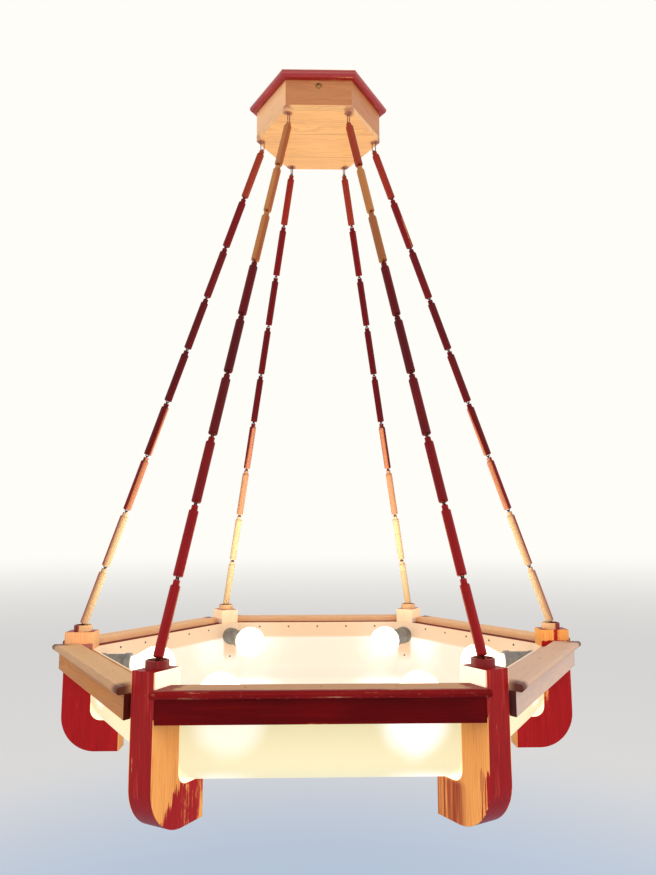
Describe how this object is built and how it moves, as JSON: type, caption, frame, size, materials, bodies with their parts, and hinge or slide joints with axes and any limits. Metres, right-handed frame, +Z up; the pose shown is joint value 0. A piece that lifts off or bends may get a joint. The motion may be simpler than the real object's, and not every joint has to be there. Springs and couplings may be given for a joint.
{
  "type": "ceiling light",
  "caption": "Hexagonal wooden ring with a glowing diffuser tray, hung by rod chains from a small hexagonal ceiling box, with screw-in lamps round the inside of the tray.",
  "frame": {"origin": "middle of the ceiling box's top face, where it meets the ceiling", "axes": "+Z up into the ceiling, -Y towards the viewer of the picture, +X to that viewer's right; corners lie every 60 degrees from +X"},
  "size_m": [0.9368, 0.838, 1.2245],
  "materials": {
    "pine": "clear varnished pine",
    "plain_wood": "plain sawn wood",
    "red_wood": "worn red stain over pine",
    "steel": "bright steel",
    "dark_steel": "dull stained steel wire",
    "diffuser": "lit translucent sheet",
    "grey_plastic": "moulded grey",
    "white_plastic": "moulded white",
    "bulb_glass": "opal, lit",
    "bulb_metal": "pressed shell"
  },
  "bodies": {
    "canopy": {"canopy_sides": "pine", "canopy_floor": "pine", "canopy_moulding": "red_wood", "ceiling_bearer": "plain_wood", "canopy_screws": "steel", "canopy_eyes": "steel", "terminal_block": "white_plastic", "cord_gland": "white_plastic"},
    "ring": {"post_1": "red_wood", "post_2": "red_wood", "post_3": "red_wood", "post_4": "red_wood", "post_5": "red_wood", "post_6": "red_wood", "rail_1": "red_wood", "rail_2": "red_wood", "rail_3": "red_wood", "rail_4": "red_wood", "rail_5": "red_wood", "rail_6": "red_wood", "cap_1": "red_wood", "cap_2": "red_wood", "cap_3": "red_wood", "cap_4": "red_wood", "cap_5": "red_wood", "cap_6": "red_wood", "tray": "diffuser", "lampholder_1": "grey_plastic", "lampholder_2": "grey_plastic", "lampholder_3": "grey_plastic", "lampholder_4": "grey_plastic", "lampholder_5": "grey_plastic", "lampholder_6": "grey_plastic", "post_cups": "red_wood", "cup_eyes": "dark_steel", "nails": "steel"},
    "chain_1": {"chain_1_rods": "red_wood", "chain_1_eyes": "dark_steel"},
    "chain_2": {"chain_2_rods": "red_wood", "chain_2_eyes": "dark_steel"},
    "chain_3": {"chain_3_rods": "red_wood", "chain_3_eyes": "dark_steel"},
    "chain_4": {"chain_4_rods": "red_wood", "chain_4_eyes": "dark_steel"},
    "chain_5": {"chain_5_rods": "red_wood", "chain_5_eyes": "dark_steel"},
    "chain_6": {"chain_6_rods": "red_wood", "chain_6_eyes": "dark_steel"},
    "bulb_1": {"bulb_1_glass": "bulb_glass", "bulb_1_cap": "bulb_metal"},
    "bulb_2": {"bulb_2_glass": "bulb_glass", "bulb_2_cap": "bulb_metal"},
    "bulb_3": {"bulb_3_glass": "bulb_glass", "bulb_3_cap": "bulb_metal"},
    "bulb_4": {"bulb_4_glass": "bulb_glass", "bulb_4_cap": "bulb_metal"},
    "bulb_5": {"bulb_5_glass": "bulb_glass", "bulb_5_cap": "bulb_metal"},
    "bulb_6": {"bulb_6_glass": "bulb_glass", "bulb_6_cap": "bulb_metal"}
  },
  "joints": [
    {"name": "ring_twist", "type": "hinge", "parent": "canopy", "child": "ring", "pos_m": [0, 0, -1.0125], "axis": [0, 0, 1], "range_deg": [-8, 8], "stiffness_Nm_per_rad": 4.1},
    {"name": "chain_1_swing", "type": "hinge", "parent": "ring", "child": "chain_1", "pos_m": [0.424, 0, -1.0125], "axis": [1, 0, 0], "range_deg": [-1, 1]},
    {"name": "chain_2_swing", "type": "hinge", "parent": "ring", "child": "chain_2", "pos_m": [0.212, 0.36719, -1.0125], "axis": [0.5, 0.866, 0], "range_deg": [-1, 1]},
    {"name": "chain_3_swing", "type": "hinge", "parent": "ring", "child": "chain_3", "pos_m": [-0.212, 0.36719, -1.0125], "axis": [-0.5, 0.866, 0], "range_deg": [-1, 1]},
    {"name": "chain_4_swing", "type": "hinge", "parent": "ring", "child": "chain_4", "pos_m": [-0.424, 0, -1.0125], "axis": [-1, 0, 0], "range_deg": [-1, 1]},
    {"name": "chain_5_swing", "type": "hinge", "parent": "ring", "child": "chain_5", "pos_m": [-0.212, -0.36719, -1.0125], "axis": [-0.5, -0.866, 0], "range_deg": [-1, 1]},
    {"name": "chain_6_swing", "type": "hinge", "parent": "ring", "child": "chain_6", "pos_m": [0.212, -0.36719, -1.0125], "axis": [0.5, -0.866, 0], "range_deg": [-1, 1]},
    {"name": "bulb_1_turn", "type": "hinge", "parent": "ring", "child": "bulb_1", "pos_m": [0.335, 0, -1.08], "axis": [-1, 0, 0], "range_deg": [0, 720]},
    {"name": "bulb_2_turn", "type": "hinge", "parent": "ring", "child": "bulb_2", "pos_m": [0.1675, 0.29012, -1.08], "axis": [-0.5, -0.866, 0], "range_deg": [0, 720]},
    {"name": "bulb_3_turn", "type": "hinge", "parent": "ring", "child": "bulb_3", "pos_m": [-0.1675, 0.29012, -1.08], "axis": [0.5, -0.866, 0], "range_deg": [0, 720]},
    {"name": "bulb_4_turn", "type": "hinge", "parent": "ring", "child": "bulb_4", "pos_m": [-0.335, 0, -1.08], "axis": [1, 0, 0], "range_deg": [0, 720]},
    {"name": "bulb_5_turn", "type": "hinge", "parent": "ring", "child": "bulb_5", "pos_m": [-0.1675, -0.29012, -1.08], "axis": [0.5, 0.866, 0], "range_deg": [0, 720]},
    {"name": "bulb_6_turn", "type": "hinge", "parent": "ring", "child": "bulb_6", "pos_m": [0.1675, -0.29012, -1.08], "axis": [-0.5, 0.866, 0], "range_deg": [0, 720]}
  ],
  "couplings": [
    {"joint": "chain_1_swing", "follows": "ring_twist", "ratio": 0.12083},
    {"joint": "chain_2_swing", "follows": "ring_twist", "ratio": 0.12083},
    {"joint": "chain_3_swing", "follows": "ring_twist", "ratio": 0.12083},
    {"joint": "chain_4_swing", "follows": "ring_twist", "ratio": 0.12083},
    {"joint": "chain_5_swing", "follows": "ring_twist", "ratio": 0.12083},
    {"joint": "chain_6_swing", "follows": "ring_twist", "ratio": 0.12083}
  ]
}
